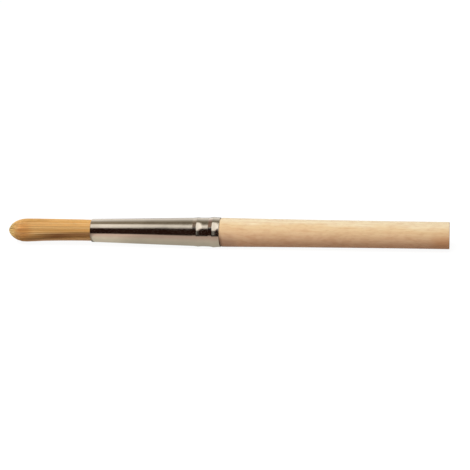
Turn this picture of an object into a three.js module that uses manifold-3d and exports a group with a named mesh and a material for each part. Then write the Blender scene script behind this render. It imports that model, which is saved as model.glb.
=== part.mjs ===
// A round brush of hog bristle, lying on its side as it is put down on a table: a turned wooden
// handle, a seamless tapered ferrule rolled onto it, and a domed tuft that is tied with thread
// and set in resin inside the ferrule.
// Millimetres, +Z up. X runs from the tip of the tuft (-X) to the end of the handle (+X). The
// origin is under the middle of the length, on the surface that the brush lies on.

import * as THREE from "three";
import { mergeVertices } from "three/addons/utils/BufferGeometryUtils.js";
import Module from "manifold-3d";

const wasm = await Module();
wasm.setup();

// ---- Driving dimensions ----------------------------------------------------------------------

// Lengths along the brush.
const tuftLength = 34.6;
const ferruleLength = 52;
const handleLength = 89.4;
const tenonLength = 19;
const bristleSunk = 18;

// Ferrule: the plain cone, and the sheet that it is drawn from.
const mouthDiameter = 9.2;
const coneDiameter = 11.7;
const sheetThickness = 0.25;

// Ferrule: two ridges rolled near its lip, the second of which is the land that ends in the lip.
// Heights are measured from the plain cone, and places from the lip.
const ridgeFromLip = 9;
const ridgeHeight = 0.16;
const ridgeLevel = -0.02;
const ridgeRise = 1.6;
const ridgeFall = 2.6;
const landFromLip = 2.75;
const landHeight = 0.26;
const landLevel = 0.02;
const landRise = 1.6;
const landFall = 2.75;

// Handle: it swells as the square of the distance from its tail.
const tailDiameter = 10.5;
const shoulderDiameter = 11.45;
const shoulderRound = 0.9;
const reliefDepth = 0.25; // of the groove turned between tenon and shoulder
const reliefLength = 0.6; // how far the groove reaches under the lip
const tailArris = 0.25;
const tenonChamfer = 0.8;
const tenonFit = 0.12;

// Tuft: it opens from the mouth to its belly and closes in a half ellipsoid.
const bellyDiameter = 9.4;
const domeLength = 7.2;
const domeDraw = 0.2; // share of the belly's radius that the strands draw in by the dome's top
const strandRings = 10; // rings of strands round the middle one, with 6 more in each
const strandGap = 0.05;
const bundleFit = 0.06;

// Binding: a few turns of thread that hold the bundle round near its roots.
const threadDiameter = 0.4;
const threadGap = 0.45; // clear space between two turns
const threadTurns = 4;
const threadFit = 0.08;
const threadFromResin = 0.6;

// Resin round the roots.
const resinSoak = 2; // length of the roots that the resin has soaked
const resinBacking = 4; // thickness behind the roots, at the wall
const resinMeniscus = 1.2; // how far its back face is dished
const resinFit = 0.1;

// Faceting.
const sides = 24; // of every turned piece; one flat faces straight down
const threadSides = 6;
const stepsPerTurn = 24;
const edgeSteps = 3; // steps round the rounded edge of the sheet
const fallSteps = 5; // steps in the fall of a ridge
const handleSteps = 8;
const shoulderSteps = 4;
const meniscusSteps = 4;

// ---- Places along X --------------------------------------------------------------------------

const overallLength = tuftLength + ferruleLength + handleLength;
const tipX = -overallLength / 2;
const tailX = overallLength / 2;
const mouthX = tipX + tuftLength;
const lipX = mouthX + ferruleLength;
const rootX = mouthX + bristleSunk;
const soakX = rootX - resinSoak;
const bellyX = tipX + domeLength;

// ---- Profiles, as radius over distance -------------------------------------------------------

// The plain cone of the ferrule, `fromLip` millimetres from the lip.
function coneRadius(fromLip) {
  return THREE.MathUtils.lerp(coneDiameter, mouthDiameter, fromLip / ferruleLength) / 2;
}

// A rolled ridge: a short straight flank on the tuft's side of its crest, and on the handle's side
// a parabola down to the level that the sheet then keeps.
function rolledRidge(fromLip, crest, height, level, rise, fall) {
  const pastCrest = fromLip - crest;
  if (pastCrest >= 0) {
    return height * (1 - Math.min(pastCrest / rise, 1));
  }
  const fallen = Math.min(-pastCrest / fall, 1);
  return level + (height - level) * (1 - fallen) ** 2;
}

// The outside of the ferrule; its bore is one sheet thickness inside it.
function ferruleRadius(fromLip) {
  const ridge =
    rolledRidge(fromLip, ridgeFromLip, ridgeHeight, ridgeLevel, ridgeRise, ridgeFall);
  const land = rolledRidge(fromLip, landFromLip, landHeight, landLevel, landRise, landFall);
  return coneRadius(fromLip) + ridge + land;
}

function boreRadius(fromLip) {
  return ferruleRadius(fromLip) - sheetThickness;
}

// The handle outside the ferrule.
function handleRadius(fromLip) {
  const fromTail = (handleLength - fromLip) / handleLength;
  return THREE.MathUtils.lerp(tailDiameter, shoulderDiameter, fromTail ** 2) / 2;
}

// The bundle of bristle: a cone between the roots and the mouth, another from the mouth to the
// belly, and a third inside the dome. The roots are drawn in as far as the thread needs.
const threadLength = (threadTurns * (threadDiameter + threadGap)) + threadDiameter;
const threadEndX = soakX - threadFromResin - threadLength;
const mouthBundle = boreRadius(ferruleLength) - bundleFit;
const tiedBundle = boreRadius(lipX - threadEndX) - bundleFit - threadDiameter - threadFit;
const tiedShare = (threadEndX - rootX) / (mouthX - rootX);
const rootBundle = (tiedBundle - mouthBundle * tiedShare) / (1 - tiedShare);

function bundleRadius(x) {
  if (x > mouthX) {
    return THREE.MathUtils.mapLinear(x, rootX, mouthX, rootBundle, mouthBundle);
  }
  const belly = bellyDiameter / 2;
  if (x > bellyX) {
    return THREE.MathUtils.mapLinear(x, mouthX, bellyX, mouthBundle, belly);
  }
  return THREE.MathUtils.mapLinear(x, bellyX, tipX, belly, belly * (1 - domeDraw));
}

// ---- Building --------------------------------------------------------------------------------

// Turns a profile of [x, radius] points about the X axis. Radii are measured across the flats.
function turned(profile) {
  const flatToCorner = 1 / Math.cos(Math.PI / sides);
  const points = profile.map(([x, radius]) => new THREE.Vector2(radius * flatToCorner, x));
  const geometry = new THREE.LatheGeometry(points, sides, Math.PI / sides);
  return geometry.rotateZ(-Math.PI / 2);
}

// `count` + 1 even steps from one value to another.
function steps(from, to, count) {
  return Array.from({ length: count + 1 }, (_, i) => from + ((to - from) * i) / count);
}

function solidOf(geometry) {
  const bare = geometry.clone();
  bare.deleteAttribute("normal");
  bare.deleteAttribute("uv");
  const merged = mergeVertices(bare);
  const vertProperties = new Float32Array(merged.attributes.position.array);
  const triVerts = new Uint32Array(merged.index.array);
  return new wasm.Manifold(new wasm.Mesh({ numProp: 3, vertProperties, triVerts }));
}

function geometryOf(solid) {
  const { vertProperties, triVerts } = solid.getMesh();
  const geometry = new THREE.BufferGeometry();
  geometry.setAttribute("position", new THREE.BufferAttribute(vertProperties, 3));
  geometry.setIndex(new THREE.BufferAttribute(triVerts, 1));
  geometry.computeVertexNormals();
  return geometry;
}

// ---- Handle ----------------------------------------------------------------------------------

function handleGeometry() {
  const tenonRadius = (fromLip) => boreRadius(fromLip) - tenonFit;
  const tenonEnd = [
    [lipX - tenonLength, 0],
    [lipX - tenonLength, tenonRadius(tenonLength) - tenonChamfer],
  ];
  const tenon = ferruleStations()
    .filter((fromLip) => fromLip > reliefLength && fromLip < tenonLength - tenonChamfer)
    .concat(reliefLength, tenonLength - tenonChamfer)
    .sort((a, b) => b - a)
    .map((fromLip) => [lipX - fromLip, tenonRadius(fromLip)]);
  const grooveRadius = tenonRadius(0) - reliefDepth;
  const shoulder = steps(0, Math.PI / 2, shoulderSteps).map((angle) => {
    const outside = shoulderRound * (1 - Math.cos(angle));
    const depth = handleRadius(outside) - grooveRadius;
    return [lipX + outside, grooveRadius + depth * Math.sin(angle)];
  });
  const shaft = steps(shoulderRound, handleLength - tailArris, handleSteps)
    .slice(1)
    .map((outside) => [lipX + outside, handleRadius(outside)]);
  const tail = [
    [tailX, handleRadius(handleLength) - tailArris],
    [tailX, 0],
  ];
  const groove = [[lipX - reliefLength / 2, grooveRadius]];
  return turned([...tenonEnd, ...tenon, ...groove, ...shoulder, ...shaft, ...tail]);
}

// ---- Ferrule ---------------------------------------------------------------------------------

// Distances from the lip at which the ferrule's wall bends, from the lip to the mouth.
function ferruleStations() {
  const aroundCrest = (crest, rise, fall) => [
    crest + rise,
    ...steps(crest, crest - fall, fallSteps),
  ];
  const aroundLand = aroundCrest(landFromLip, landRise, landFall);
  const inside = [...aroundLand, ...aroundCrest(ridgeFromLip, ridgeRise, ridgeFall)]
    .filter((fromLip) => fromLip > sheetThickness && fromLip < ferruleLength - sheetThickness)
    .sort((a, b) => a - b)
    .filter((fromLip, i, all) => i === 0 || fromLip - all[i - 1] > sheetThickness / 2);
  return [sheetThickness / 2, ...inside, ferruleLength - sheetThickness / 2];
}

function ferruleGeometry() {
  const stations = ferruleStations();
  const outside = stations.map((fromLip) => [lipX - fromLip, ferruleRadius(fromLip)]);
  const inside = stations.map((fromLip) => [lipX - fromLip, boreRadius(fromLip)]);
  // A rounded edge of the sheet, from the bore round to the outside or back.
  const edge = (fromLip, from, to) =>
    steps(from, to, edgeSteps + 1)
      .slice(1, -1)
      .map((angle) => [
        lipX - fromLip + (sheetThickness / 2) * Math.cos(angle),
        ferruleRadius(fromLip) - (sheetThickness / 2) * (1 - Math.sin(angle)),
      ]);
  const lip = edge(stations[0], -Math.PI / 2, Math.PI / 2);
  const mouth = edge(stations.at(-1), Math.PI / 2, (3 * Math.PI) / 2);
  const profile = [...outside, ...mouth, ...inside.reverse(), ...lip].reverse();
  return turned([...profile, profile[0]]);
}

// ---- Resin and thread ------------------------------------------------------------------------

// A cup of resin: its rim stands round the soaked roots, and its back is dished as it set.
function resinGeometry() {
  const wall = (x) => boreRadius(lipX - x) - resinFit;
  const cupRadius = bundleRadius(soakX) + resinFit;
  const floorX = rootX + resinFit;
  const backX = rootX + resinBacking;
  const back = steps(1, 0, meniscusSteps).map((share) => [
    backX - resinMeniscus * (1 - share ** 2),
    wall(backX) * share,
  ]);
  return turned([
    [floorX, 0],
    [floorX, cupRadius],
    [soakX, cupRadius],
    [soakX, wall(soakX)],
    ...back,
  ]);
}

// The thread's centre line, a helix that follows the cone of the bundle.
class ThreadPath extends THREE.Curve {
  getPoint(share, target = new THREE.Vector3()) {
    const angle = share * threadTurns * 2 * Math.PI;
    const travel = share * threadTurns * (threadDiameter + threadGap);
    const x = threadEndX + threadDiameter / 2 + travel;
    const radius = bundleRadius(threadEndX) + threadFit + threadDiameter / 2;
    return target.set(x, radius * Math.cos(angle), radius * Math.sin(angle));
  }
}

function threadGeometry() {
  const corners = steps(0, 2 * Math.PI, threadSides)
    .slice(0, -1)
    .map((angle) => new THREE.Vector2(Math.cos(angle), Math.sin(angle)))
    .map((corner) => corner.multiplyScalar(threadDiameter / 2));
  return new THREE.ExtrudeGeometry(new THREE.Shape(corners), {
    extrudePath: new ThreadPath(),
    steps: threadTurns * stepsPerTurn,
    bevelEnabled: false,
  });
}

// The least clear space between two turns, measured between points at least half a turn apart.
function leastThreadGap() {
  const count = threadTurns * stepsPerTurn;
  const points = new ThreadPath().getPoints(count);
  let least = Infinity;
  points.forEach((point, i) => {
    for (let j = i + stepsPerTurn / 2; j <= count; j++) {
      least = Math.min(least, point.distanceTo(points[j]));
    }
  });
  return least - threadDiameter;
}

// ---- Bristle ---------------------------------------------------------------------------------

// Strands stand in rings, and each keeps its angle and its share of the bundle's radius from root
// to tip, so no two meet. The pitch of the rings is least where the bundle is narrowest.
const narrowest = Math.min(rootBundle, mouthBundle, bellyDiameter / 2);
const leastPitch = (narrowest + strandGap / 2) / (strandRings + 0.5);
const strandRadius = (leastPitch - strandGap) / 2;

function ringRadius(x, ring) {
  return ((bundleRadius(x) - strandRadius) * ring) / strandRings;
}

// Where a ring's strands end: they stop at the half ellipsoid. With the belly's radius as 1 and
// u as the share of the dome's length, share^2 (1 - draw u)^2 + u^2 = 1 gives u.
function strandEndX(ring) {
  const share = ring / strandRings;
  const a = 1 + (share * domeDraw) ** 2;
  const halfB = share ** 2 * domeDraw;
  const c = share ** 2 - 1;
  const u = (halfB + Math.sqrt(halfB ** 2 - a * c)) / a;
  return bellyX - u * domeLength;
}

// Adds one three-sided strand, from inside the soaked slice to its point.
function addStrand(positions, indices, ring, angle) {
  const stations = [(rootX + soakX) / 2, mouthX, bellyX];
  const first = positions.length / 3;
  const addPoint = (x, radius, around, outward) => {
    const y = ringRadius(x, ring) * Math.cos(angle) + radius * Math.cos(outward + around);
    const z = ringRadius(x, ring) * Math.sin(angle) + radius * Math.sin(outward + around);
    positions.push(x, y, z);
  };
  stations.forEach((x) => {
    for (let corner = 0; corner < 3; corner++) {
      addPoint(x, strandRadius, (corner * 2 * Math.PI) / 3, angle);
    }
  });
  addPoint(strandEndX(ring), 0, 0, angle);
  indices.push(first, first + 1, first + 2);
  const tip = first + 3 * stations.length;
  stations.forEach((_, station) => {
    for (let corner = 0; corner < 3; corner++) {
      const here = first + 3 * station + corner;
      const beside = first + 3 * station + ((corner + 1) % 3);
      if (station === stations.length - 1) {
        indices.push(tip, beside, here);
      } else {
        indices.push(here + 3, beside + 3, here, beside + 3, beside, here);
      }
    }
  });
}

// The slice of resin that holds rings `low` to `high`: a disc, or a ring about its own axis.
function sliceProfile(low, high) {
  const halfPitch = (ringRadius(soakX, 1) - strandGap) / 2;
  const outer = ringRadius(soakX, high) + halfPitch;
  if (low === 0) {
    return [[soakX, 0], [soakX, outer], [rootX, outer], [rootX, 0]];
  }
  const inner = ringRadius(soakX, low) - halfPitch;
  return [[soakX, inner], [soakX, outer], [rootX, outer], [rootX, inner], [soakX, inner]];
}

function bristleGeometry(low, high) {
  const positions = [];
  const indices = [];
  for (let ring = low; ring <= high; ring++) {
    const count = ring === 0 ? 1 : 6 * ring;
    for (let i = 0; i < count; i++) {
      const stagger = (ring % 2) / 2;
      addStrand(positions, indices, ring, (2 * Math.PI * (i + stagger)) / count);
    }
  }
  const strands = new THREE.BufferGeometry();
  strands.setAttribute("position", new THREE.Float32BufferAttribute(positions, 3));
  strands.setIndex(indices);
  return geometryOf(solidOf(turned(sliceProfile(low, high))).add(solidOf(strands)));
}

// ---- Materials -------------------------------------------------------------------------------

const paleWood = () => new THREE.MeshStandardMaterial({ color: 0xe4c39a, roughness: 0.6 });
const nickelPlate = () =>
  new THREE.MeshStandardMaterial({ color: 0xc9beac, roughness: 0.18, metalness: 1 });
const hogBristle = (color) => new THREE.MeshStandardMaterial({ color, roughness: 0.55 });
const resin = () => new THREE.MeshStandardMaterial({ color: 0x5a3a1c, roughness: 0.3 });
const linenThread = () => new THREE.MeshStandardMaterial({ color: 0xd9cdb4, roughness: 0.85 });

// ---- Assembly --------------------------------------------------------------------------------

function piece(name, geometry, material) {
  const mesh = new THREE.Mesh(geometry, material);
  mesh.name = name;
  return mesh;
}

const crests = [ferruleRadius(landFromLip), ferruleRadius(ridgeFromLip)];
const axisHeight = Math.max(...crests, handleRadius(shoulderRound), bellyDiameter / 2);

const brush = new THREE.Group();
brush.position.z = axisHeight;
brush.add(
  piece("handle", handleGeometry(), paleWood()),
  piece("ferrule", ferruleGeometry(), nickelPlate()),
  piece("resin_plug", resinGeometry(), resin()),
  piece("binding_thread", threadGeometry(), linenThread()),
  piece("bristles_core", bristleGeometry(0, 5), hogBristle(0xc98a4b)),
  piece("bristles_inner", bristleGeometry(6, 7), hogBristle(0xd09a5c)),
  piece("bristles_middle", bristleGeometry(8, 9), hogBristle(0xd7a76c)),
  piece("bristles_outer", bristleGeometry(10, strandRings), hogBristle(0xdfb279)),
);
console.log("least gap between turns of thread: " + leastThreadGap().toFixed(2) + " mm");

export default brush;
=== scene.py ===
import math

import bpy
import numpy as np
from mathutils import Matrix, Vector


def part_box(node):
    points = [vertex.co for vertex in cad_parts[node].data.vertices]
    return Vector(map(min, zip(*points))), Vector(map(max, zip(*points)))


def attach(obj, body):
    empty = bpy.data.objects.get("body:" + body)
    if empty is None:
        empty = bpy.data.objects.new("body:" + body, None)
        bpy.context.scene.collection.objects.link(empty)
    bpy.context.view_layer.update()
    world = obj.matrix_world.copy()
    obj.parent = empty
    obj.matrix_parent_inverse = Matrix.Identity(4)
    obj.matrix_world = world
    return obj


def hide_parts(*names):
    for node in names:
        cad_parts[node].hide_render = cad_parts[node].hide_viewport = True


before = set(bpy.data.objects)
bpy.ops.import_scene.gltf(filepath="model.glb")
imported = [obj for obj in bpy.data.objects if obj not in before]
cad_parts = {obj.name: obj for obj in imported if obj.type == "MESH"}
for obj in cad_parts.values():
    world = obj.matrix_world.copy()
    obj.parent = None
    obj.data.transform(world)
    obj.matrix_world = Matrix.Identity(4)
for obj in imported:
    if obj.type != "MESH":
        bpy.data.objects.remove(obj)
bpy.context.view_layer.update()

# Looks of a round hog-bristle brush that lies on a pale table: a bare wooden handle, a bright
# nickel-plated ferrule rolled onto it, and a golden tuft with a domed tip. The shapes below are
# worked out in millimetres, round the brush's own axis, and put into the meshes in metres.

MM = 0.001


def ease(value, low, high):
    """0 below `low`, 1 above `high`, and 3t^2 - 2t^3 between."""
    t = np.clip((value - low) / (high - low), 0, 1)
    return t * t * (3 - 2 * t)


def node_box(name):
    """The lowest and highest corner of a CAD node, in millimetres."""
    return [np.array(corner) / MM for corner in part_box(name)]


# ---- Places along the brush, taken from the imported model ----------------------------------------

TIP_X = node_box("bristles_core")[0][0]
ROOT_X = node_box("bristles_outer")[1][0]
MOUTH_X, LIP_X = node_box("ferrule")[0][0], node_box("ferrule")[1][0]
TAIL_X = node_box("handle")[1][0]
TENON_X = node_box("handle")[0][0]
THREAD_X = node_box("binding_thread")[0][0], node_box("binding_thread")[1][0]
RESIN_X = node_box("resin_plug")[1][0]
AXIS_Z = (node_box("ferrule")[0][2] + node_box("ferrule")[1][2]) / 2
FERRULE_LENGTH = LIP_X - MOUTH_X
HANDLE_LENGTH = TAIL_X - LIP_X

# ---- Measures that the model shares with its source, in millimetres -----------------------------

MOUTH_DIAMETER = 9.2
CONE_DIAMETER = 11.7
SHEET = 0.25

# The two rolled ridges: places count from the lip, heights from the plain cone.
RIDGE = dict(crest=9.0, height=0.16, level=-0.02, rise=1.6, fall=2.6)
LAND = dict(crest=2.75, height=0.26, level=0.02, rise=1.6, fall=2.75)

TAIL_DIAMETER = 10.5
SHOULDER_DIAMETER = 11.45
SHOULDER_ROUND = 0.9
RELIEF_DEPTH = 0.25
RELIEF_LENGTH = 0.6
TAIL_ARRIS = 0.25
TENON_CHAMFER = 0.8
TENON_FIT = 0.12

BELLY_DIAMETER = 9.4
DOME_LENGTH = 7.2
BUNDLE_FIT = 0.06

THREAD_DIAMETER = 0.4
THREAD_FIT = 0.08
RESIN_SOAK = 2.0
RESIN_FIT = 0.1
RESIN_MENISCUS = 1.2

# ---- Camera -------------------------------------------------------------------------------------

# The brush is seen from beside the end of its handle, 0.56 m away and from 24 degrees above the
# table, so the rings of the ferrule bulge towards the tuft and the cut end is edge on.
CAMERA_DISTANCE = 0.560
CAMERA_HEIGHT = math.radians(24)
CAMERA_TURN = math.radians(8.5)
CAMERA_DIP = math.radians(0.1)
CAMERA_ROLL = math.radians(0.83)
LENS_MM = 110
SENSOR_MM = 36


def place_camera():
    """The camera stands square to the brush's axis at the end of the handle, turned towards the
    tuft, dipped and rolled by small angles."""
    across = Vector((0, math.cos(CAMERA_HEIGHT), -math.sin(CAMERA_HEIGHT)))
    along = Vector((1, 0, 0))
    target = Vector((TAIL_X, 0, AXIS_Z)) * MM
    forward = across * math.cos(CAMERA_TURN) - along * math.sin(CAMERA_TURN)
    right = along * math.cos(CAMERA_TURN) + across * math.sin(CAMERA_TURN)
    turned_frame = Matrix((right, right.cross(forward), -forward)).transposed()
    dipped = turned_frame @ Matrix.Rotation(-CAMERA_DIP, 3, "X")
    rolled = dipped @ Matrix.Rotation(CAMERA_ROLL, 3, "Z")
    lens = bpy.data.cameras.new("camera")
    lens.lens = LENS_MM
    lens.sensor_width = SENSOR_MM
    lens.clip_start = 0.01
    camera = bpy.data.objects.new("camera", lens)
    camera.matrix_world = Matrix.Translation(target - across * CAMERA_DISTANCE) @ rolled.to_4x4()
    bpy.context.scene.collection.objects.link(camera)
    bpy.context.scene.camera = camera


# ---- Making meshes ------------------------------------------------------------------------------

# Points round each turned piece.
FERRULE_SIDES = 192
HANDLE_SIDES = 160
RESIN_SIDES = 96


def mesh_object(name, points, faces):
    """An object at the origin whose mesh has `points`, in millimetres, and smooth `faces`."""
    mesh = bpy.data.meshes.new(name)
    mesh.from_pydata((np.asarray(points) * MM).tolist(), [], faces)
    mesh.shade_smooth()
    made = bpy.data.objects.new(name, mesh)
    bpy.context.scene.collection.objects.link(made)
    return made


def grid_faces(rows, columns, closed_rows=False, closed_columns=True):
    """Quads of a grid of points whose columns run in a ring unless told otherwise, and whose rows
    may too. The normal is (next column) x (next row)."""
    row, column = np.meshgrid(
        np.arange(rows if closed_rows else rows - 1),
        np.arange(columns if closed_columns else columns - 1),
        indexing="ij",
    )
    row, column = row.ravel(), column.ravel()
    next_row, next_column = (row + 1) % rows, (column + 1) % columns
    corners = (
        row * columns + column,
        row * columns + next_column,
        next_row * columns + next_column,
        next_row * columns + column,
    )
    return np.stack(corners, axis=1)


def turned(name, profile, sides):
    """A profile turned about the brush's axis: its point (x, r) goes to (x, r cos a, r sin a) for
    every angle a. A profile that starts and ends on the axis closes in a fan at each pole, and
    any other runs in a ring. Along the outside, x increases."""
    x, r = np.asarray(profile, float).T
    angle = np.linspace(0, 2 * math.pi, sides, endpoint=False)
    has_poles = r[0] == 0
    rings = slice(1, -1) if has_poles else slice(None)
    ring_x, ring_r = x[rings, None], r[rings, None]
    points = np.stack(
        [
            ring_x + 0 * angle,
            ring_r * np.cos(angle),
            AXIS_Z + ring_r * np.sin(angle),
        ],
        axis=-1,
    ).reshape(-1, 3)
    faces = grid_faces(len(ring_x), sides, closed_rows=not has_poles).tolist()
    if has_poles:
        column = np.arange(sides)
        beside = (column + 1) % sides
        last = (len(ring_x) - 1) * sides
        poles = np.array([[x[0], 0, AXIS_Z], [x[-1], 0, AXIS_Z]])
        start, end = len(points), len(points) + 1
        points = np.concatenate([points, poles])
        faces += np.stack([start + 0 * column, beside, column], axis=1).tolist()
        faces += np.stack([last + column, last + beside, end + 0 * column], axis=1).tolist()
    return mesh_object(name, points, faces)


# ---- Profiles, as in the part's source ----------------------------------------------------------


def cone_radius(from_lip):
    """Radius of the ferrule's plain cone, falling evenly from lip to mouth."""
    return (CONE_DIAMETER + (MOUTH_DIAMETER - CONE_DIAMETER) * from_lip / FERRULE_LENGTH) / 2


def rolled_ridge(from_lip, crest, height, level, rise, fall):
    """A straight flank from 0 up to `height` on the tuft's side of the crest, and a parabola
    from there to `level` on the handle's side."""
    past = from_lip - crest
    risen = np.clip(past / rise, 0, 1)
    fallen = np.clip(-past / fall, 0, 1)
    dropped = level + (height - level) * (1 - fallen) ** 2
    return np.where(past >= 0, height * (1 - risen), dropped)


def ferrule_radius(from_lip):
    """The cone with its two rolled ridges."""
    return cone_radius(from_lip) + rolled_ridge(from_lip, **RIDGE) + rolled_ridge(from_lip, **LAND)


def bore_radius(from_lip):
    """The bore follows the outside, one sheet thickness inside."""
    return ferrule_radius(from_lip) - SHEET


def handle_radius(from_lip):
    """The handle swells as the square of the distance from its tail."""
    from_tail = 1 - from_lip / HANDLE_LENGTH
    return (TAIL_DIAMETER + (SHOULDER_DIAMETER - TAIL_DIAMETER) * from_tail**2) / 2


def ferrule_stations():
    """Distances from the lip, close together over the rolled ridges, and once more by the mouth,
    so that the plain cone stays straight up to the sheet's edge."""
    past_ridges = RIDGE["crest"] + RIDGE["rise"] + 0.4
    last = FERRULE_LENGTH - SHEET / 2
    ridges = np.linspace(SHEET / 2, past_ridges, 108)
    plain = np.linspace(past_ridges, last - 0.03, 30)[1:]
    return np.concatenate([ridges, plain, [last]])


# ---- Pieces -------------------------------------------------------------------------------------


def make_ferrule():
    """Outside from mouth to lip, half a circle round the sheet's edge, and the bore back again,
    one sheet thickness inside."""
    from_lip = ferrule_stations()
    outside = np.stack([LIP_X - from_lip, ferrule_radius(from_lip)], axis=1)[::-1]
    inside = np.stack([LIP_X - from_lip, bore_radius(from_lip)], axis=1)
    half_sheet = SHEET / 2
    turn = np.linspace(0, math.pi, 8)[1:-1]

    def edge(at, towards):
        """Half a circle: from the outside in for `towards` 1, and from the bore out for -1."""
        middle = ferrule_radius(at) - half_sheet
        x = LIP_X - at + towards * half_sheet * np.sin(turn)
        r = middle + towards * half_sheet * np.cos(turn)
        return np.stack([x, r], axis=1)

    profile = [outside, edge(half_sheet, 1), inside, edge(FERRULE_LENGTH - half_sheet, -1)]
    return turned("ferrule_shell", np.concatenate(profile), FERRULE_SIDES)


def tenon_profile():
    """The tenon's flat end, its chamfer and its side, which stays one fit inside the bore."""
    inner = ferrule_stations()
    inner = inner[(inner < LIP_X - TENON_X - TENON_CHAMFER) & (inner > RELIEF_LENGTH)][::-1]
    side_x = np.concatenate([[TENON_X], TENON_X + TENON_CHAMFER + 0 * inner[:1], LIP_X - inner])
    side_r = bore_radius(LIP_X - side_x) - TENON_FIT
    side_r[0] -= TENON_CHAMFER
    end_r = np.linspace(0, side_r[0], 6)[:-1]
    end = np.stack([TENON_X + 0 * end_r, end_r], axis=1)
    return np.concatenate([end, np.stack([side_x, side_r], axis=1)])


def shoulder_profile():
    """The relief groove, and a quarter of an ellipse from its floor out to the shaft."""
    angle = np.linspace(0, math.pi / 2, 14)[1:]
    beyond = SHOULDER_ROUND * (1 - np.cos(angle))
    floor = bore_radius(0.0) - TENON_FIT - RELIEF_DEPTH
    groove = np.array([[LIP_X - RELIEF_LENGTH / 2, floor], [LIP_X, floor]])
    radius = floor + (handle_radius(beyond) - floor) * np.sin(angle)
    return np.concatenate([groove, np.stack([LIP_X + beyond, radius], axis=1)])


def tail_profile():
    """A quarter of a circle round the arris, and the square cut in to the axis."""
    turn = np.linspace(0, math.pi / 2, 6)[1:]
    tail_r = handle_radius(HANDLE_LENGTH)
    arris_x = TAIL_X - TAIL_ARRIS * (1 - np.sin(turn))
    arris_r = tail_r - TAIL_ARRIS * (1 - np.cos(turn))
    face_r = np.linspace(tail_r - TAIL_ARRIS, 0, 14)[1:]
    face = np.stack([TAIL_X + 0 * face_r, face_r], axis=1)
    return np.concatenate([np.stack([arris_x, arris_r], axis=1), face])


def make_handle():
    """Tenon, relief groove, rounded shoulder, slender swelling shaft and a square cut with its
    arris taken off."""
    run = np.linspace(SHOULDER_ROUND, HANDLE_LENGTH - TAIL_ARRIS, 120)[1:]
    shaft = np.stack([LIP_X + run, handle_radius(run)], axis=1)
    profile = [tenon_profile(), shoulder_profile(), shaft, tail_profile()]
    return turned("handle_turned", np.concatenate(profile), HANDLE_SIDES)


# The tuft: its radius and its sag, at places that count from its tip.
TUFT_LENGTH = MOUTH_X - TIP_X
DOME_POWER = 0.61
ENVELOPE_AT = [DOME_LENGTH, 11.0, 16.0, 22.0, 28.0, TUFT_LENGTH]
ENVELOPE_RADIUS = [BELLY_DIAMETER / 2, 4.62, 4.46, 4.37, 4.33, 4.29]
SAG_AT = [0.0, 6.0, 14.0, 22.0, 29.0, TUFT_LENGTH]
SAG = [-0.3, -0.3, -0.02, 0.08, 0.14, 0.0]

# Its strands. Each has its points at these shares of its length from the tip. It is as thick as
# STRAND_DIAMETER times a share of its own, and END_THICKNESS of that at its end, from which it
# grows over STRAND_TAPER.
STRAND_SEED = 7
STRAND_RINGS = 28
STRAND_SIDES = 4
STRAND_STATIONS = np.array([1.0, 0.72, 0.52, 0.36, 0.24, 0.155, 0.095, 0.05, 0.018, 0.0])
STRAND_DIAMETER = 0.165
STRAND_THICKNESS = (0.85, 1.1)
STRAND_TAPER = 1.6
END_THICKNESS = 0.2

# The foremost strand ends this far inside the tip of the model's box, which leaves room for the
# point in which every strand ends.
FIRST_END = 0.05
POINT_LENGTH = 0.04

# How strands stray: round and across their ring, as shares of the room that each has, and at
# the tip sideways, in millimetres, and round the bundle, in radians. A few stand off further.
WANDER_ROUND = 0.22
WANDER_ACROSS = 0.16
SWAY = 0.03
SWING = 0.012
STRAY_STRANDS = 0.012
STRAY_REACH = (0.03, 0.15)

# Tone varies by locks, which go round the bundle so many times, and from strand to strand.
LOCKS_ROUND = (13, 22, 31, 43)
LOCK_SLANT = 9
LOCK_TONE = 0.06
STRAND_TONE = 0.2

# The source has a middle strand and 10 rings round it. Its nodes part the bundle between them.
NODE_RINGS = {"core": (0, 5.5), "inner": (5.5, 7.5), "middle": (7.5, 9.5), "outer": (9.5, 10.5)}
OUTSIDE_RING = 10.5


def envelope_radius(from_tip):
    """The tuft's radius. Over the dome it is the belly's radius times (1 - u^2)^0.61, where u
    falls from 1 at the tip to 0 at the belly. Then it runs straight through measured radii to the
    mouth, and on to the thread inside the ferrule."""
    into_dome = np.clip(1 - from_tip / DOME_LENGTH, 0, 1)
    dome = BELLY_DIAMETER / 2 * np.maximum(1 - into_dome**2, 0) ** DOME_POWER
    tied_radius = bore_radius(LIP_X - THREAD_X[1]) - BUNDLE_FIT - THREAD_DIAMETER - THREAD_FIT
    at = ENVELOPE_AT + [THREAD_X[0] - TIP_X, ROOT_X - TIP_X]
    radius = ENVELOPE_RADIUS + [tied_radius, tied_radius]
    shaft = np.interp(from_tip, at, radius)
    return np.where(from_tip < DOME_LENGTH, dome, shaft)


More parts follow.
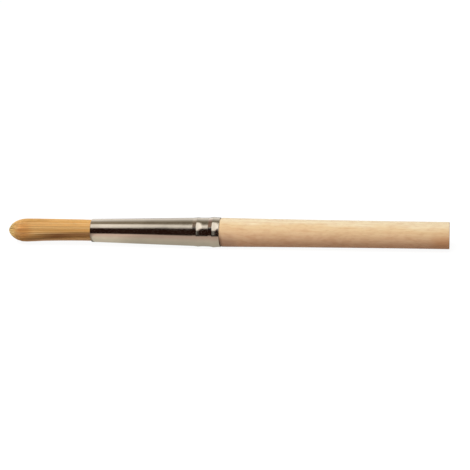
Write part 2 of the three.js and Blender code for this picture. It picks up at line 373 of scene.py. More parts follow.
def tuft_strands():
    """Centre lines of all strands. Ring k of n, counted from 0, stands at the share (k + 1/2) / n
    of the envelope's radius and holds 2 pi (k + 0.6) strands, which wander a little from their
    even places. Each strand keeps its share. It ends at its own place in the dome, e dome lengths
    from the tip, and the part 1 - (1 - e)^2 of the strands end before e, so most do close to the
    tip. Strands nearer the middle end earlier still, by 1/4 + 3/4 of their share.
    Returns points (strand, station, 3), radii (strand, station), the shares, and what colours each
    point: its strand's tone, the painted core shadow on the flanks, the amber with its painted shade
    below the shoulder, the painted bounce light underneath, and the paler tip."""
    rng = np.random.default_rng(STRAND_SEED)
    counts = np.round(2 * math.pi * (np.arange(STRAND_RINGS) + 0.6)).astype(int)
    ring = np.repeat(np.arange(STRAND_RINGS), counts)
    total = len(ring)
    in_ring = np.arange(total) - np.repeat(np.cumsum(counts) - counts, counts)
    start = rng.random(STRAND_RINGS)[ring]
    wander = rng.normal(0, WANDER_ROUND, total)
    angle = 2 * math.pi * (in_ring + start + wander) / counts[ring]
    share = (ring + 0.5 + rng.normal(0, WANDER_ACROSS, total)) / STRAND_RINGS
    share = np.clip(share, 0.01, 1 - 0.3 / STRAND_RINGS)
    ended = np.minimum(rng.random(total), 0.985)
    end = DOME_LENGTH * (1 - np.sqrt(1 - ended))
    end = FIRST_END + end * (0.25 + 0.75 * share)
    full = ROOT_X - TIP_X
    from_tip = end[:, None] + (full - end[:, None]) * STRAND_STATIONS
    out = share[:, None] * (envelope_radius(from_tip) - STRAND_DIAMETER / 2)
    freedom = np.clip((TUFT_LENGTH - from_tip) / TUFT_LENGTH, 0, 1)
    sway = rng.normal(0, SWAY, (total, 1)) * freedom
    swing = rng.normal(0, SWING, (total, 1)) * freedom
    stray = (rng.random((total, 1)) < STRAY_STRANDS) * rng.uniform(*STRAY_REACH, (total, 1))
    out = out + np.minimum(sway, SWAY) + stray * freedom**2 * share[:, None]
    around = angle[:, None] + swing
    height = AXIS_Z + out * np.sin(around) + np.interp(from_tip, SAG_AT, SAG)
    points = np.stack([TIP_X + from_tip, out * np.cos(around), height], axis=-1)
    taper = np.clip((from_tip - end[:, None]) / STRAND_TAPER, 0, 1)
    width = END_THICKNESS + (1 - END_THICKNESS) * np.sqrt(taper)
    radii = STRAND_DIAMETER / 2 * width * rng.uniform(*STRAND_THICKNESS, (total, 1))
    slant = LOCK_SLANT * share
    locks = sum(np.cos(n * angle + rng.uniform(0, 6.3) + slant) for n in LOCKS_ROUND)
    tone = 0.5 + LOCK_TONE * locks + rng.normal(0, STRAND_TONE, total)
    tone = np.clip(tone, 0, 1)
    colouring = dict(
        tone=np.repeat(tone[:, None], len(STRAND_STATIONS), axis=1),
        # Painted shade: the core shadow on both flanks.
        flank=flank_painted_core_shadow(from_tip, around),
        # Amber on top, and painted shade below the shoulder.
        amber=amber_with_painted_side_shade(from_tip, around),
        # Painted light: the bounce that pales the strands underneath.
        painted_bounce=painted_bounce_underneath(from_tip, around),
        tip=1 - ease(from_tip, 1, 4.6),
    )
    return points, radii, share, colouring


def above_level(around):
    """How far round the bundle a strand lies: 90 degrees at its top, 0 on both flanks, and -90
    underneath."""
    return np.degrees(np.arctan2(np.sin(around), np.abs(np.cos(around))))


def flank_painted_core_shadow(from_tip, around):
    """0 to 1: painted shade, the core shadow of the bundle and the shadow between its strands, as a
    browner band on both flanks. Close to the tip it lies from 15 to 58 degrees below the level of
    the axis. Towards the mouth it climbs, and there it reaches from 19 degrees below that level to
    17 above it."""
    height = above_level(around)
    upper = np.interp(from_tip, [6, 9, 14, 17, 20, 27, TUFT_LENGTH], [-15, -7, 8, 9, 7, 11, 17])
    lower = np.interp(from_tip, [6, 11, 14, 21, 26, TUFT_LENGTH], [-58, -44, -34, -28, -22, -19])
    depth = np.interp(from_tip, [6, 9, 12, 15, 18, 23, 26], [0.2, 0.35, 0.5, 0.6, 1, 0.97, 0.84])
    band = (1 - ease(height, upper - 9, upper + 3)) * ease(height, lower - 9, lower + 9)
    return depth * band * ease(from_tip, 4, 10)


def amber_with_painted_side_shade(from_tip, around):
    """0 to 1: the top of the bundle is more amber, and twice as much on the belly as by the mouth.
    So, by 5/8 of that, are the strands below the bundle's shoulder, from 46 degrees above the level
    of the axis down to the flank; that part is painted shade, where the light from above falls less."""
    height = above_level(around)
    stop = np.interp(from_tip, [12, 18, 24], [26, 10, 0])
    # Painted shade: the strands below the shoulder of the lit top.
    side = (1 - ease(height, 40, 52)) * ease(height, stop - 6, stop + 6) * ease(from_tip, 5, 11)
    top = ease(height, 62, 78) * ease(from_tip, 4, 8) * (1 - 0.5 * ease(from_tip, 15, 20))
    return np.maximum(0.625 * side, top)


def painted_bounce_underneath(from_tip, around):
    """0 to 1: painted light: the strands underneath are paler, as the warm bounce from the table
    lights them.
    """
    return (1 - ease(above_level(around), -44, -24)) * ease(from_tip, 5, 10)


def strand_tubes(name, points, radii, colouring):
    """Each centre line becomes a tube with a square section, capped at the root and pinched to a
    point at its end. The tube's corners stand across X, because strands run nearly along X. Each
    entry of `colouring`, with a value for every point of the lines, becomes an attribute."""
    count, stations = radii.shape
    corner = (np.arange(STRAND_SIDES) + 0.5) * 2 * math.pi / STRAND_SIDES
    offset = np.stack([0 * corner, np.cos(corner), np.sin(corner)], axis=-1)
    rings = points[:, :, None, :] + radii[:, :, None, None] * offset
    per_strand = stations * STRAND_SIDES
    tips = points[:, -1] - [[POINT_LENGTH, 0, 0]]
    every = np.concatenate([rings.reshape(count, per_strand, 3), tips[:, None]], axis=1)
    one = grid_faces(stations, STRAND_SIDES)[:, ::-1]
    root = np.arange(STRAND_SIDES)[None]
    last = per_strand - STRAND_SIDES + np.arange(STRAND_SIDES)
    beside = per_strand - STRAND_SIDES + (np.arange(STRAND_SIDES) + 1) % STRAND_SIDES
    points_of_tip = np.stack([last, 0 * last + per_strand, beside], axis=1)
    step = (np.arange(count) * (per_strand + 1))[:, None, None]
    faces = []
    for part in (one, root, points_of_tip):
        faces += (step + part[None]).reshape(-1, part.shape[1]).tolist()
    made = mesh_object(name, every.reshape(-1, 3), faces)
    for label, values in colouring.items():
        values = np.repeat(values, STRAND_SIDES, axis=1)
        values = np.concatenate([values, values[:, -1:]], axis=1)
        attribute = made.data.attributes.new(label, "FLOAT", "POINT")
        attribute.data.foreach_set("value", values.ravel().astype(np.float32))
    return made


def make_tuft():
    """Four pieces, one for each node of the model, split by share of the radius as its rings."""
    points, radii, share, colouring = tuft_strands()
    made = {}
    for node, (low, high) in NODE_RINGS.items():
        chosen = (share >= low / OUTSIDE_RING) & (share < high / OUTSIDE_RING)
        shades = {label: values[chosen] for label, values in colouring.items()}
        made[node] = strand_tubes(f"hog_bristle_{node}", points[chosen], radii[chosen], shades)
    return made


RESIN_FRONT_DISH = 0.3


def make_resin():
    """A plug from the soaked roots to its back. Over the share u of the radius, its front is
    dished by 1 - u^4 of RESIN_FRONT_DISH, and its back by 1 - u^2 of RESIN_MENISCUS."""
    front_x = ROOT_X - RESIN_SOAK
    front_r = bore_radius(LIP_X - front_x) - RESIN_FIT
    back_r = bore_radius(LIP_X - RESIN_X) - RESIN_FIT
    share = np.linspace(0, 1, 10)
    front = np.stack([front_x + RESIN_FRONT_DISH * (1 - share**4), front_r * share], axis=1)
    back = np.stack([RESIN_X - RESIN_MENISCUS * (1 - share**2), back_r * share], axis=1)
    return turned("resin_cast", np.concatenate([front, back[::-1]]), RESIN_SIDES)


# The thread is seen nowhere, so its plies are few and plain. Lengths are in millimetres, and
# THREAD_SLACK keeps its turns clear of one another and of the bristle.
THREAD_TURNS = 8
THREAD_PLIES = 3
THREAD_SLACK = 0.98
THREAD_STEPS = 160
THREAD_SIDES = 12
THREAD_ENDS = 1.15
PLY_PITCH = 1.1
PLY_DEPTH = 0.14


def make_thread():
    """A helix of touching turns, THREAD_ENDS radii short of its box at both ends. Its section has
    three lobes, r (1 + d cos 3(a - t)) / (1 + d) for the depth d, and t grows by a third of a
    turn every PLY_PITCH along the thread."""
    low, high = THREAD_X
    thread_r = THREAD_DIAMETER / 2 * THREAD_SLACK
    middle_r = float(envelope_radius(np.array(low - TIP_X))) + THREAD_FIT + thread_r
    steps = THREAD_TURNS * THREAD_STEPS
    along = np.linspace(0, 1, steps)
    angle = along * THREAD_TURNS * 2 * math.pi
    x = low + thread_r * THREAD_ENDS + (high - low - 2 * THREAD_ENDS * thread_r) * along
    lay = angle * middle_r / PLY_PITCH * 2 * math.pi / THREAD_PLIES
    around = np.linspace(0, 2 * math.pi, THREAD_SIDES, endpoint=False)
    lobes = np.cos(THREAD_PLIES * (around[None] - lay[:, None]))
    lobed = thread_r * (1 + PLY_DEPTH * lobes) / (1 + PLY_DEPTH)
    out = middle_r + lobed * np.cos(around)
    points = np.stack(
        [
            x[:, None] + lobed * np.sin(around),
            out * np.cos(angle[:, None]),
            AXIS_Z + out * np.sin(angle[:, None]),
        ],
        axis=-1,
    ).reshape(-1, 3)
    faces = grid_faces(steps, THREAD_SIDES)[:, ::-1].tolist()
    faces.append(list(range(THREAD_SIDES)))
    faces.append(list(range(len(points) - 1, len(points) - 1 - THREAD_SIDES, -1)))
    return mesh_object("linen_thread", points, faces)


# ---- Materials ----------------------------------------------------------------------------------


def linear(code):
    """An sRGB hex colour as linear RGBA."""
    channels = np.array([int(code[i : i + 2], 16) for i in (1, 3, 5)]) / 255
    curve = np.where(channels <= 0.04045, channels / 12.92, ((channels + 0.055) / 1.055) ** 2.4)
    return (*curve.tolist(), 1.0)


def add_node(tree, kind, inputs=(), stops=(), **settings):
    """Adds a node with its settings. `inputs` gives sockets a value, or the output to link, and
    `stops` gives a colour ramp its places and sRGB colours."""
    made = tree.nodes.new(kind)
    for name, value in settings.items():
        setattr(made, name, value)
    for socket, value in dict(inputs).items():
        if isinstance(value, bpy.types.NodeSocket):
            tree.links.new(value, made.inputs[socket])
        else:
            made.inputs[socket].default_value = value
    for number, (position, colour) in enumerate(stops):
        if number > 1:
            made.color_ramp.elements.new(position)
        made.color_ramp.elements[number].position = position
        made.color_ramp.elements[number].color = linear(colour)
    return made


def new_material(name):
    """A material with an empty node tree."""
    material = bpy.data.materials.new(name)
    material.use_nodes = True
    material.node_tree.nodes.clear()
    return material, material.node_tree


def cells(length, width):
    """The scale of a noise whose cells are `length` long, along the brush, and `width` wide, in
    millimetres."""
    return (1 / (length * MM), 1 / (width * MM), 1 / (width * MM))


def nickel_plate():
    """Bright nickel plate on drawn brass sheet: a warm white mirror with faint lengthwise die
    lines and a breath of haze."""
    material, tree = new_material("nickel_plate")
    place = add_node(tree, "ShaderNodeTexCoord").outputs["Object"]
    # Die lines 0.15 mm apart and some 40 mm long, coarser than the real ones so that they show.
    lines_place = add_node(
        tree, "ShaderNodeMapping", {"Vector": place, "Scale": cells(40, 0.1538)}
    ).outputs["Vector"]
    lines = add_node(
        tree, "ShaderNodeTexNoise", {"Vector": lines_place, "Scale": 1.0, "Detail": 2.0}
    ).outputs["Fac"]
    # Haze in patches of some 6 mm.
    haze = add_node(
        tree, "ShaderNodeTexNoise", {"Vector": place, "Scale": 1 / (5.882 * MM), "Detail": 3.0}
    ).outputs["Fac"]
    roughness = add_node(
        tree,
        "ShaderNodeMapRange",
        {"Value": haze, "From Min": 0.3, "From Max": 0.7, "To Min": 0.12, "To Max": 0.17},
    ).outputs["Result"]
    tint = add_node(
        tree,
        "ShaderNodeValToRGB",
        {"Fac": haze},
        stops=[(0.35, "#D8CCBB"), (0.65, "#E0D4C2")],
    ).outputs["Color"]
    bump = add_node(
        tree,
        "ShaderNodeBump",
        {"Height": lines, "Strength": 0.25, "Distance": 0.004 * MM},
    ).outputs["Normal"]
    shader = add_node(
        tree,
        "ShaderNodeBsdfPrincipled",
        {"Base Color": tint, "Metallic": 1.0, "Roughness": roughness, "Normal": bump},
    )
    add_node(tree, "ShaderNodeOutputMaterial", {"Surface": shader.outputs["BSDF"]})
    return material


# The handle's wood: places on it, and the spacing of its growth rings, in millimetres.
PITH = (0.0, 13.0, 22.0)
RING_SPACING = 1.7
RUN_OUT = math.radians(0.7)
# Painted light: between these heights the wood runs from a pinker underside to a paler top.
PAINTED_LIGHT_HEIGHTS = (AXIS_Z - 5.7, AXIS_Z + 5.7)
LOWER_SIDE = (AXIS_Z - 1.5, AXIS_Z + 3.5)
# A painted shadow: a dark brown line on the lower side, in the gap where the wood meets the lip.
LIP_GAP_PAINTED_SHADOW = (LIP_X + 0.45, LIP_X + 1.5)
# Painted shade on the lower side of the wood, a few millimetres past the lip.
LIP_SIDE_PAINTED_SHADE = (LIP_X + 3.0, LIP_X + 9.0)
HANDLED_END = (TAIL_X - 9.0, TAIL_X - 4.0)
END_GRAIN = (TAIL_X - 0.3, TAIL_X - 0.05)


def bare_beech():
    """Beech, turned and fine-sanded, left bare: pale and matt. Light is painted into its colour: it
    is palest and yellowest on top and pinker underneath, as light from above and a warm bounce from
    below make it. The growth rings stand round a pith beside the rod, so they are faint lengthwise
    bands, and arcs on the cut end, which drinks the light and looks darker. There are soft streaks,
    clouds and mottling, and short ray flecks. On the lower side there is painted shade a little past
    the ferrule, a dark brown painted shadow in the gap at its lip, and an orange-brown mark under
    the end where it has been handled."""
    material, tree = new_material("bare_beech")
    place = add_node(tree, "ShaderNodeTexCoord").outputs["Object"]
    along = add_node(tree, "ShaderNodeSeparateXYZ", {"Vector": place}).outputs
    # The grain runs out: it sinks by 0.7 degrees towards the tail.
    grain = add_node(
        tree, "ShaderNodeMapping", {"Vector": place, "Rotation": (0, -RUN_OUT, 0)}
    ).outputs["Vector"]
    across = add_node(tree, "ShaderNodeSeparateXYZ", {"Vector": grain}).outputs
    # Patterns that follow the grain: the length and width of their cells in millimetres, and
    # detail. Single fibres and ray flecks are too fine to show, so the fibres are drawn in
    # bundles, and the flecks three times coarser than they are.
    patterns = {}
    for label, length, width, detail in (
        ("fibres", 14.29, 0.5882, 3.0),
        ("clouds", 12.5, 4.762, 3.0),
        ("flecks", 2.381, 0.5263, 1.0),
        ("mottling", 3.448, 1.471, 1.0),
    ):
        stretched = add_node(
            tree, "ShaderNodeMapping", {"Vector": grain, "Scale": cells(length, width)}
        ).outputs["Vector"]
        patterns[label] = add_node(
            tree, "ShaderNodeTexNoise", {"Vector": stretched, "Scale": 1.0, "Detail": detail}
        ).outputs["Fac"]
    # Painted light: from a pinker underside, low, to a paler and yellower top, high, as light from
    # above and a warm bounce from below colour it, with an uneven border.
    painted_light_height = add_node(
        tree,
        "ShaderNodeMapRange",
        {
            "Value": across["Z"],
            "From Min": PAINTED_LIGHT_HEIGHTS[0] * MM,
            "From Max": PAINTED_LIGHT_HEIGHTS[1] * MM,
            "To Min": -0.16,
            "To Max": 0.84,
        },
        clamp=False,
    ).outputs["Result"]
    uneven = add_node(
        tree,
        "ShaderNodeMath",
        {0: patterns["clouds"], 1: 0.32, 2: painted_light_height},
        operation="MULTIPLY_ADD",
    ).outputs["Value"]
    cream = add_node(
        tree,
        "ShaderNodeValToRGB",
        {"Fac": uneven},
        stops=[
            (0.0, "#DEBB9D"),
            (0.24, "#E1BA99"),
            (0.42, "#E2BC97"),
            (0.6, "#E3BF97"),
            (0.78, "#E2C398"),
            (0.9, "#E2C79B"),
            (1.0, "#EDDDB9"),
        ],
    ).outputs["Color"]
    # The wave's phase is 20 s d radians, for scale s and distance d in metres from the pith.
    ring_place = add_node(
        tree,
        "ShaderNodeMapping",
        {"Vector": grain, "Location": [-step * MM for step in PITH], "Scale": (0.2, 1, 1)},
    ).outputs["Vector"]
    growth_rings = add_node(
        tree,
        "ShaderNodeTexWave",
        {
            "Vector": ring_place,
            "Scale": 2 * math.pi / (20 * RING_SPACING * MM),
            "Distortion": 2.5,
            "Detail": 1.0,
            "Detail Scale": 0.6,
        },
        wave_type="RINGS",
        rings_direction="X",
        wave_profile="SAW",
    ).outputs["Fac"]
    late_wood = add_node(
        tree, "ShaderNodeMath", {0: growth_rings, 1: 0.16}, operation="MULTIPLY"
    ).outputs["Value"]
    streaks = add_node(
        tree,
        "ShaderNodeMapRange",
        {"Value": patterns["fibres"], "From Min": 0.35, "From Max": 0.7, "To Max": 0.3},
    ).outputs["Result"]
    flecks = add_node(
        tree,
        "ShaderNodeMapRange",
        {"Value": patterns["flecks"], "From Min": 0.5, "From Max": 0.74, "To Max": 0.17},
        interpolation_type="SMOOTHSTEP",
    ).outputs["Result"]
    # Soft pinkish spots, clearer lower down.
    spots = add_node(
        tree,
        "ShaderNodeMapRange",
        {"Value": patterns["mottling"], "From Min": 0.4, "From Max": 0.7, "To Max": 0.3},
        interpolation_type="SMOOTHSTEP",
    ).outputs["Result"]
    clearness = add_node(
        tree,
        "ShaderNodeMapRange",
        {"Value": painted_light_height, "From Min": 0.1, "From Max": 0.7, "To Min": 1.5, "To Max": 0.55},
    ).outputs["Result"]
    mottling = add_node(
        tree, "ShaderNodeMath", {0: spots, 1: clearness}, operation="MULTIPLY"
    ).outputs["Value"]
    # What lies over the cream, from the bottom up: how much of it, and its colour.
    layers = [
        (late_wood, linear("#C79A70")),
        (streaks, linear("#D2A87C")),
        (flecks, linear("#A9764A")),
        (mottling, linear("#C58F68")),
    ]
    lower_side = add_node(
        tree,
        "ShaderNodeMapRange",
        {
            "Value": along["Z"],
            "From Min": LOWER_SIDE[0] * MM,
            "From Max": LOWER_SIDE[1] * MM,
            "To Min": 1.0,
            "To Max": 0.0,
        },
        interpolation_type="SMOOTHSTEP",
    ).outputs["Result"]
    # On the lower side only: painted shade a little past the lip, a dark brown painted shadow in the
    # gap at the lip, and an orange-brown mark under the handled end.
    for (start, stop), (share_at_start, share_at_stop), colour in (
        (LIP_SIDE_PAINTED_SHADE, (0.4, 0.0), "#AD8E7B"),
        (LIP_GAP_PAINTED_SHADOW, (0.7, 0.0), "#6B4630"),
        (HANDLED_END, (0.0, 0.6), "#C88D5A"),
    ):
        reach = add_node(
            tree,
            "ShaderNodeMapRange",
            {
                "Value": along["X"],
                "From Min": start * MM,
                "From Max": stop * MM,
                "To Min": share_at_start,
                "To Max": share_at_stop,
            },
            interpolation_type="SMOOTHSTEP",
        ).outputs["Result"]
        share = add_node(
            tree, "ShaderNodeMath", {0: reach, 1: lower_side}, operation="MULTIPLY"
        ).outputs["Value"]
        layers.append((share, linear(colour)))
    # The cut end is darker, and shows pores. They are drawn a sixth of a millimetre across, some
    # twice as coarse as they are.
    pores = add_node(
        tree, "ShaderNodeTexNoise", {"Vector": place, "Scale": 6 / MM, "Detail": 1.0}
    ).outputs["Fac"]
    end_pattern = add_node(
        tree, "ShaderNodeMath", {0: growth_rings, 1: -0.2, 2: pores}, operation="MULTIPLY_ADD"
    ).outputs["Value"]
    end_colour = add_node(
        tree,
        "ShaderNodeValToRGB",
        {"Fac": end_pattern},
        stops=[(0.2, "#8A5F38"), (0.36, "#B08250"), (0.55, "#C9A06E")],
    ).outputs["Color"]
    end_share = add_node(
        tree,
        "ShaderNodeMapRange",
        {
            "Value": along["X"],
            "From Min": END_GRAIN[0] * MM,
            "From Max": END_GRAIN[1] * MM,
            "To Max": 0.7,
        },
    ).outputs["Result"]
    layers.append((end_share, end_colour))
    wood = cream
    for share, colour in layers:
        wood = add_node(
            tree, "ShaderNodeMix", {"Factor": share, 6: wood, 7: colour}, data_type="RGBA"
        ).outputs[2]
    bump = add_node(
        tree,
        "ShaderNodeBump",
        {"Height": patterns["fibres"], "Strength": 0.4, "Distance": 0.03 * MM},
    ).outputs["Normal"]
    shader = add_node(
        tree,
        "ShaderNodeBsdfPrincipled",
        {
            "Base Color": wood,
            "Roughness": 0.52,
            "Normal": bump,
            "Specular IOR Level": 0.5,
            "Sheen Weight": 0.2,
            "Sheen Roughness": 0.4,
            "Sheen Tint": linear("#FFF6DC"),
        },
    )
    add_node(tree, "ShaderNodeOutputMaterial", {"Surface": shader.outputs["BSDF"]})
    return material


# An orange patch on the front of the tuft near its tip: its middle, and where it fades.
TIP_ORANGE_PATCH = (TIP_X + 7.3, -4.0, AXIS_Z + 1.0)
TIP_ORANGE_PATCH_REACH = (1.0, 5.0)


def hog_bristle():
    """Hog bristle, washed and boiled straight: golden and slightly glossy, each strand of its own
    tone. It is orange in a patch near the tip, on its front, paler at the very tip and amber on top.
    Light and shade are painted into it too: amber painted shade below the shoulder, paler painted
    bounce light underneath, and a brown painted core shadow on both flanks."""
    material, tree = new_material("hog_bristle")
    place = add_node(tree, "ShaderNodeTexCoord").outputs["Object"]
    tone = add_node(tree, "ShaderNodeAttribute", attribute_name="tone").outputs["Fac"]
    colour = add_node(
        tree,
        "ShaderNodeValToRGB",
        {"Fac": tone},
        stops=[(0.0, "#D3974F"), (0.33, "#EDB970"), (0.67, "#F3CB8A"), (1.0, "#F6D9A4")],
    ).outputs["Color"]
    from_stain = add_node(
        tree,
        "ShaderNodeVectorMath",
        {0: place, 1: [step * MM for step in TIP_ORANGE_PATCH]},
        operation="DISTANCE",
    ).outputs["Value"]
    orange_patch = add_node(
        tree,
        "ShaderNodeMapRange",
        {
            "Value": from_stain,
            "From Min": TIP_ORANGE_PATCH_REACH[0] * MM,
            "From Max": TIP_ORANGE_PATCH_REACH[1] * MM,
            "To Min": 0.5,
            "To Max": 0.0,
        },
        interpolation_type="SMOOTHSTEP",
    ).outputs["Result"]
    layers = [(orange_patch, "#D68A3C")]
    for attribute, most, shade in (
        ("tip", 0.7, "#F4DA90"),
        # Amber on top, with painted shade below the shoulder.
        ("amber", 0.448, "#A8752A"),
        # Painted light: the paler underside, lit by the bounce.
        ("painted_bounce", 0.4, "#F6DCBE"),
        # Painted shade: the core shadow on both flanks.
        ("flank", 0.85, "#7C4620"),
    ):
        amount = add_node(tree, "ShaderNodeAttribute", attribute_name=attribute).outputs["Fac"]
        share = add_node(
            tree, "ShaderNodeMath", {0: amount, 1: most}, operation="MULTIPLY"
        ).outputs["Value"]
        layers.append((share, shade))
    for share, shade in layers:
        colour = add_node(
            tree,
            "ShaderNodeMix",
            {"Factor": share, 6: colour, 7: linear(shade)},
            data_type="RGBA",
        ).outputs[2]
    shader = add_node(
        tree,
        "ShaderNodeBsdfPrincipled",
        {"Base Color": colour, "Roughness": 0.45, "Specular IOR Level": 0.4},
    )
    add_node(tree, "ShaderNodeOutputMaterial", {"Surface": shader.outputs["BSDF"]})
    return material


def cast_resin():
    """Epoxy resin, cast round the roots: dark amber and glossy."""
    material, tree = new_material("cast_epoxy")
    place = add_node(tree, "ShaderNodeTexCoord").outputs["Object"]
    # Swirls some 2.5 mm wide, from stirring.
    swirl = add_node(
        tree, "ShaderNodeTexNoise", {"Vector": place, "Scale": 1 / (2.5 * MM), "Detail": 2.0}
    ).outputs["Fac"]
    amber = add_node(
        tree,
        "ShaderNodeValToRGB",
        {"Fac": swirl},
        stops=[(0.35, "#4A2D13"), (0.65, "#6A4421")],
    ).outputs["Color"]
    shader = add_node(
        tree,
        "ShaderNodeBsdfPrincipled",
        {"Base Color": amber, "Roughness": 0.25, "Coat Weight": 0.3},
    )
    add_node(tree, "ShaderNodeOutputMaterial", {"Surface": shader.outputs["BSDF"]})
    return material


def linen():
    """Unbleached linen thread, three plies twisted together: matt and slightly hairy."""
    material, tree = new_material("linen_thread")
    place = add_node(tree, "ShaderNodeTexCoord").outputs["Object"]
    # Fibres and fuzz a third of a millimetre across, coarser than the real 0.02 mm so that
    # they show.
    fuzz = add_node(
        tree, "ShaderNodeTexNoise", {"Vector": place, "Scale": 3 / MM, "Detail": 3.0}
    ).outputs["Fac"]
    colour = add_node(
        tree,
        "ShaderNodeValToRGB",
        {"Fac": fuzz},
        stops=[(0.3, "#C4B594"), (0.7, "#E0D5BC")],
    ).outputs["Color"]
    bump = add_node(
        tree, "ShaderNodeBump", {"Height": fuzz, "Strength": 0.5, "Distance": 0.03 * MM}
    ).outputs["Normal"]
    shader = add_node(
        tree,
        "ShaderNodeBsdfPrincipled",
        {"Base Color": colour, "Roughness": 0.85, "Normal": bump},
    )
    add_node(tree, "ShaderNodeOutputMaterial", {"Surface": shader.outputs["BSDF"]})
    return material


# ---- Studio -------------------------------------------------------------------------------------

# Sizes in millimetres.
TENT_RADIUS = 1500.0
TABLE_HALF = 4000.0
CARD_HEIGHT = 0.3

# Strengths of light: what the tent, the card and the table glow with, and the room's own.
FLAG_GLOW = 0.012
STRIP_GLOW = 0.28
CLOTH_GLOW = 0.15
BACK_GLOW = 0.75
WINDOW_GLOW = 0.86
CARD_GLOW = 0.56
TABLE_GLOW = 0.93
ROOM_LIGHT = 0.12


def tent_glow(side, height):
    """Light of the tent that the metal mirrors, as linear RGB, by direction: `side` degrees
    towards the tail, and `height` degrees from the front horizon over the top to the back one,
    so every edge below is in degrees. A brownish black flag stands in front, with a lit strip
    in it square to the brush. A window is open overhead, and widens towards the tail. The cloth
    behind it is dim, and browner past the tuft, where only the flanks of the ferrule's ridges
    look. The back is white."""
    by_tuft = 1 - ease(side, -18.5, -13.5)
    past_tuft = 1 - ease(side, -22, -19)
    by_middle = ease(side, -16, -15) * (1 - ease(side, -14.4, -13.6))
    by_ridges = ease(side, -14.2, -12.9)
    far_past_tuft = 1 - ease(side, -28, -24.5)
    dim = CLOTH_GLOW + 0.16 * by_tuft - 0.04 * by_middle - 0.19 * (past_tuft - far_past_tuft)
    cloth = FLAG_GLOW + dim * ease(height, 62 - 9 * past_tuft, 68 - 7 * past_tuft)
    cloth = cloth + BACK_GLOW * ease(height, 104, 165)
    strip = ease(side, -1.5, 1.5) * (1 - ease(side, 4, 7))
    cloth = cloth + STRIP_GLOW * strip * (1 - ease(height, 62, 68))
    low = 71 - 20 * by_tuft - 16 * by_ridges - 17.5 * ease(side, -9, -0.5)
    high = 85 + 4 * by_tuft - 10 * by_ridges + 28 * ease(side, -12.7, -5)
    window = ease(height, low - 8, low + 3) * (1 - ease(height, high - 3, high + 5))
    window = window * ease(side, -21.5, -18)
    pane = WINDOW_GLOW + 0.55 * (1 - ease(side, -18, -15)) - 0.14 * by_middle
    pane = pane + 0.5 * ease(side, -13.4, -8.4) - 0.32 * ease(side, -7, -1)
    glow = cloth * (1 - window) + pane * window
    in_flag = (1 - window) * (1 - ease(height, 30, 58)) * (1 - ease(side, -4, 0))
    in_cloth = (1 - window) * ease(height, 60, 70) * (1 - ease(height, 105, 140))
    tint = in_flag[..., None] * [0.8, -0.25, -0.45] + in_cloth[..., None] * [0.0, -0.1, -0.3]
    tint = tint + (past_tuft * ease(height, 60, 70))[..., None] * [0.0, -0.2, -0.15]
    return glow[..., None] * (1 + tint)


def place_tent():
    """Half a globe round the brush, seen only by reflections: direction (sin s, -cos s cos h,
    cos s sin h) for side s and height h."""
    side = np.linspace(-89, 89, 179)
    height = np.linspace(-2, 182, 185)
    s, h = np.meshgrid(np.radians(side), np.radians(height), indexing="ij")
    direction = np.stack([np.sin(s), -np.cos(s) * np.cos(h), np.cos(s) * np.sin(h)], axis=-1)
    faces = grid_faces(len(side), len(height), closed_columns=False)
    tent = mesh_object("tent", direction.reshape(-1, 3) * TENT_RADIUS, faces.tolist())
    light_card(tent, tent_glow(np.degrees(s), np.degrees(h)))


def light_card(card, glow):
    """Lights a card with the linear colour `glow` at each of its points, and shows it to
    reflections only."""
    colours = np.ones((glow.size // 3, 4), np.float32)
    colours[:, :3] = glow.reshape(-1, 3)
    attribute = card.data.attributes.new("glow", "FLOAT_COLOR", "POINT")
    attribute.data.foreach_set("color", colours.ravel())
    material, tree = new_material(f"{card.name}_light")
    colour = add_node(tree, "ShaderNodeAttribute", attribute_name="glow").outputs["Color"]
    light = add_node(tree, "ShaderNodeEmission", {"Color": colour})
    add_node(tree, "ShaderNodeOutputMaterial", {"Surface": light.outputs["Emission"]})
    material.cycles.emission_sampling = "NONE"
    card.data.materials.append(material)
    card.visible_camera = False
    card.visible_diffuse = False
    card.visible_transmission = False
    card.visible_shadow = False


def place_grey_card():
    """A warm grey card flat on the table, seen only by reflections, a grid whose lines stand
    closer by the brush and by the ferrule's mouth. It is a little dimmer close to the brush and
    behind it, brighter by the mouth, dim in the tuft's shadow, pinker away from the brush, and
    black far away."""
    side = np.union1d(np.arange(-80, 30, 5), MOUTH_X + np.arange(-4, 1.5, 0.25))
    side = np.concatenate([[-TENT_RADIUS], side, [TENT_RADIUS]])
    depth = [0, 1, 2, 3, 4, 6, 8, 10, 15, 20, 25, 35, 42, 50, 58, 66, 76, 88, 100, TENT_RADIUS]
    depth = np.concatenate([-np.array(depth[:0:-1]), depth])
    x, y = np.meshgrid(side, depth, indexing="ij")
    points = np.stack([x, y, 0 * x + CARD_HEIGHT], axis=-1).reshape(-1, 3)
    # Turned over, so that the card faces up.
    faces = grid_faces(len(side), len(depth), closed_columns=False)[:, [0, 3, 2, 1]]
    card = mesh_object("grey_card", points, faces.tolist())
    strength = (0.7 + 0.2 * ease(-y, 1, 9)) * (1.06 + 0.45 * ease(-x, 36, 47))
    past_mouth = MOUTH_X - x - 0.22 * np.abs(y)
    strength = strength * (1 - 0.7 * ease(past_mouth, -0.9, -0.4))
    reach = 35 - 12 * ease(x, -45, -15)
    strength = strength * (1 - ease(np.abs(y) / reach, 1, 2.8))
    pinker = ease(np.abs(y), 4, 18)
    colour = np.stack([1 + 0 * pinker, 0.98 - 0.18 * pinker, 0.88 - 0.15 * pinker], axis=-1)
    light_card(card, CARD_GLOW * strength[..., None] * colour)


def seen_directly(tree):
    """1 for rays from the camera, and for those that a mirror or glass sends on."""
    ray = add_node(tree, "ShaderNodeLightPath").outputs
    seen = ray["Is Camera Ray"]
    for kind in ("Is Glossy Ray", "Is Transmission Ray"):
        seen = add_node(
            tree, "ShaderNodeMath", {0: seen, 1: ray[kind]}, operation="MAXIMUM"
        ).outputs["Value"]
    return seen


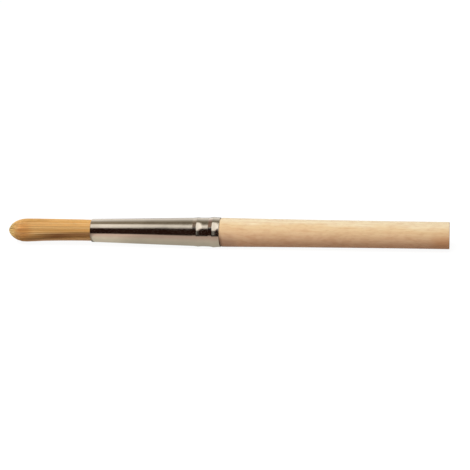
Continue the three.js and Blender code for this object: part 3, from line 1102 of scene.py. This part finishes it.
def place_table():
    """A pale table of smooth painted board. Where it is seen it shows white, with a soft shadow,
    and what it sends back up to the brush is a warm grey."""
    corners = [(-1, -1, 0), (1, -1, 0), (1, 1, 0), (-1, 1, 0)]
    table = mesh_object("table", np.array(corners) * TABLE_HALF, [[0, 1, 2, 3]])
    material, tree = new_material("pale_table")
    bounce = add_node(tree, "ShaderNodeBsdfDiffuse", {"Color": linear("#B5A599")})
    white = add_node(tree, "ShaderNodeBsdfDiffuse", {"Color": linear("#616161")})
    glow = add_node(tree, "ShaderNodeEmission", {"Strength": TABLE_GLOW})
    shown = add_node(
        tree, "ShaderNodeAddShader", {0: white.outputs["BSDF"], 1: glow.outputs["Emission"]}
    )
    mixed = add_node(
        tree,
        "ShaderNodeMixShader",
        {0: seen_directly(tree), 1: bounce.outputs["BSDF"], 2: shown.outputs["Shader"]},
    )
    add_node(tree, "ShaderNodeOutputMaterial", {"Surface": mixed.outputs["Shader"]})
    material.cycles.emission_sampling = "NONE"
    table.data.materials.append(material)


def light_world():
    """Soft light from all round, and white where it is seen."""
    world = bpy.data.worlds.new("room")
    world.use_nodes = True
    tree = world.node_tree
    tree.nodes.clear()
    strength = add_node(
        tree,
        "ShaderNodeMapRange",
        {"Value": seen_directly(tree), "To Min": ROOM_LIGHT, "To Max": 1.0},
    ).outputs["Result"]
    background = add_node(
        tree, "ShaderNodeBackground", {"Color": linear("#FFFFFF"), "Strength": strength}
    )
    add_node(tree, "ShaderNodeOutputWorld", {"Surface": background.outputs["Background"]})
    bpy.context.scene.world = world


def place_lamp(name, towards, distance, size, power):
    """A soft lamp in the direction `towards`, (side, height) as tent_glow has them, so many
    metres away."""
    side, height = np.radians(towards)
    across = Vector((0, -math.cos(height), math.sin(height)))
    direction = Vector((1, 0, 0)) * math.sin(side) + across * math.cos(side)
    lamp = bpy.data.lights.new(name, "AREA")
    lamp.shape = "RECTANGLE"
    lamp.size, lamp.size_y = size
    lamp.energy = power
    made = bpy.data.objects.new(name, lamp)
    made.location = direction * distance
    made.rotation_mode = "QUATERNION"
    made.rotation_quaternion = direction.to_track_quat("Z", "Y")
    made.visible_camera = False
    made.visible_glossy = False
    bpy.context.scene.collection.objects.link(made)


# ---- Setting out --------------------------------------------------------------------------------


def dress(piece, node, material):
    """Gives a finished piece its material and its place in the model."""
    piece.data.materials.append(material)
    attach(piece, "root")
    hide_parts(node)


bpy.context.scene.view_settings.view_transform = "Standard"
place_camera()
light_world()
place_table()
place_tent()
place_grey_card()
place_lamp("window_light", towards=(-14, 66), distance=0.9, size=(0.8, 0.5), power=10.0)
place_lamp("far_wall_light", towards=(28, 160), distance=0.9, size=(1.0, 0.3), power=2.4)

dress(make_handle(), "handle", bare_beech())
dress(make_ferrule(), "ferrule", nickel_plate())
dress(make_resin(), "resin_plug", cast_resin())
dress(make_thread(), "binding_thread", linen())
bristle = hog_bristle()
for ring, strands in make_tuft().items():
    dress(strands, f"bristles_{ring}", bristle)
